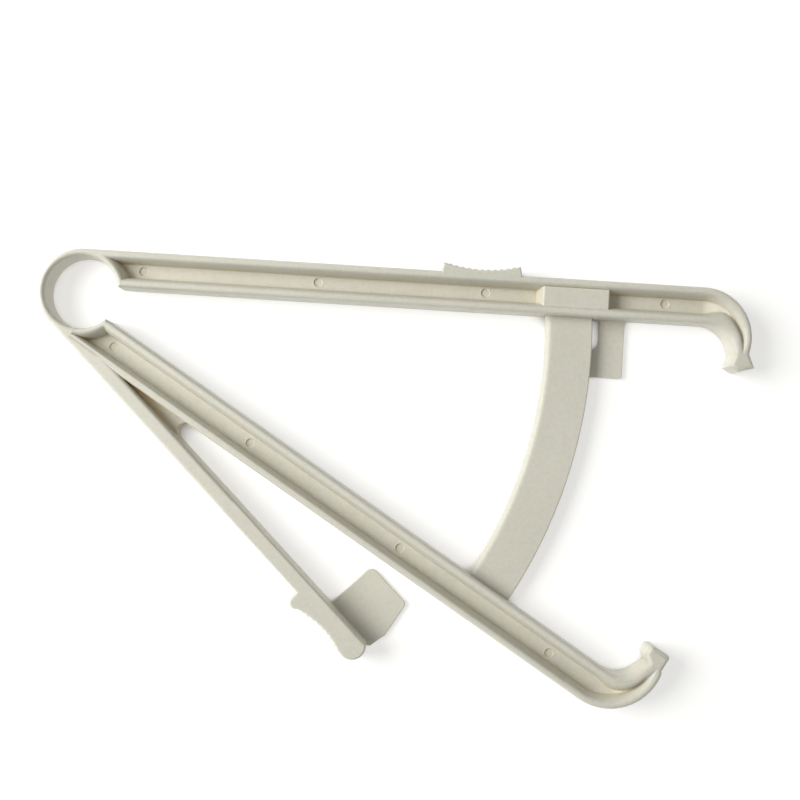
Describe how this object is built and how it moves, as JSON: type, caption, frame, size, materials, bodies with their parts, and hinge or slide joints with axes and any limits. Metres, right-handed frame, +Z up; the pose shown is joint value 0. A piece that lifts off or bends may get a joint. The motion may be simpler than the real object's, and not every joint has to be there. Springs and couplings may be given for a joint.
{
  "type": "skinfold caliper",
  "caption": "Plastic skinfold caliper: channel arms on a spring ring, hooked jaws, a curved sliding scale and a flexing thumb lever.",
  "frame": {"origin": "centre of the spring ring's hole, on the front face that the caliper lies on", "axes": "+X from the ring towards the jaws, +Y from the lower arm towards the upper arm, +Z up from the front face to the open side of the channels"},
  "size_m": [0.1949, 0.1242, 0.009],
  "materials": {
    "ivory_plastic": "satin, fine moulded texture",
    "scale_ink": "matt printed ink"
  },
  "bodies": {
    "lower_arm": {"lower_arm": "ivory_plastic", "lower_jaw": "ivory_plastic", "lower_jaw_foot": "ivory_plastic", "scale_arc": "ivory_plastic", "scale_lines": "scale_ink", "lever_root": "ivory_plastic", "lever_flexure": "ivory_plastic", "spring_ring": "ivory_plastic", "arm_index_mark": "scale_ink"},
    "thumb_lever": {"thumb_lever": "ivory_plastic", "thumb_rest": "ivory_plastic", "pressure_flag": "ivory_plastic", "flag_index_mark": "scale_ink"},
    "upper_arm": {"upper_arm": "ivory_plastic", "finger_rest": "ivory_plastic", "scale_guide": "ivory_plastic", "window_plate": "ivory_plastic", "window_pointer": "scale_ink", "upper_jaw": "ivory_plastic", "upper_jaw_foot": "ivory_plastic"}
  },
  "joints": [
    {"name": "jaw_hinge", "type": "hinge", "parent": "lower_arm", "child": "upper_arm", "pos_m": [0.0035, -0.0075, 0.0045], "axis": [0, 0, -1], "range_deg": [0, 25.5], "stiffness_Nm_per_rad": 0.7, "deforming": ["spring_ring"]},
    {"name": "thumb_lever_flex", "type": "hinge", "parent": "lower_arm", "child": "thumb_lever", "pos_m": [0.03153, -0.04847, 0.0045], "axis": [0, 0, 1], "range_deg": [0, 3.6], "stiffness_Nm_per_rad": 0.6, "deforming": ["lever_flexure"]}
  ]
}
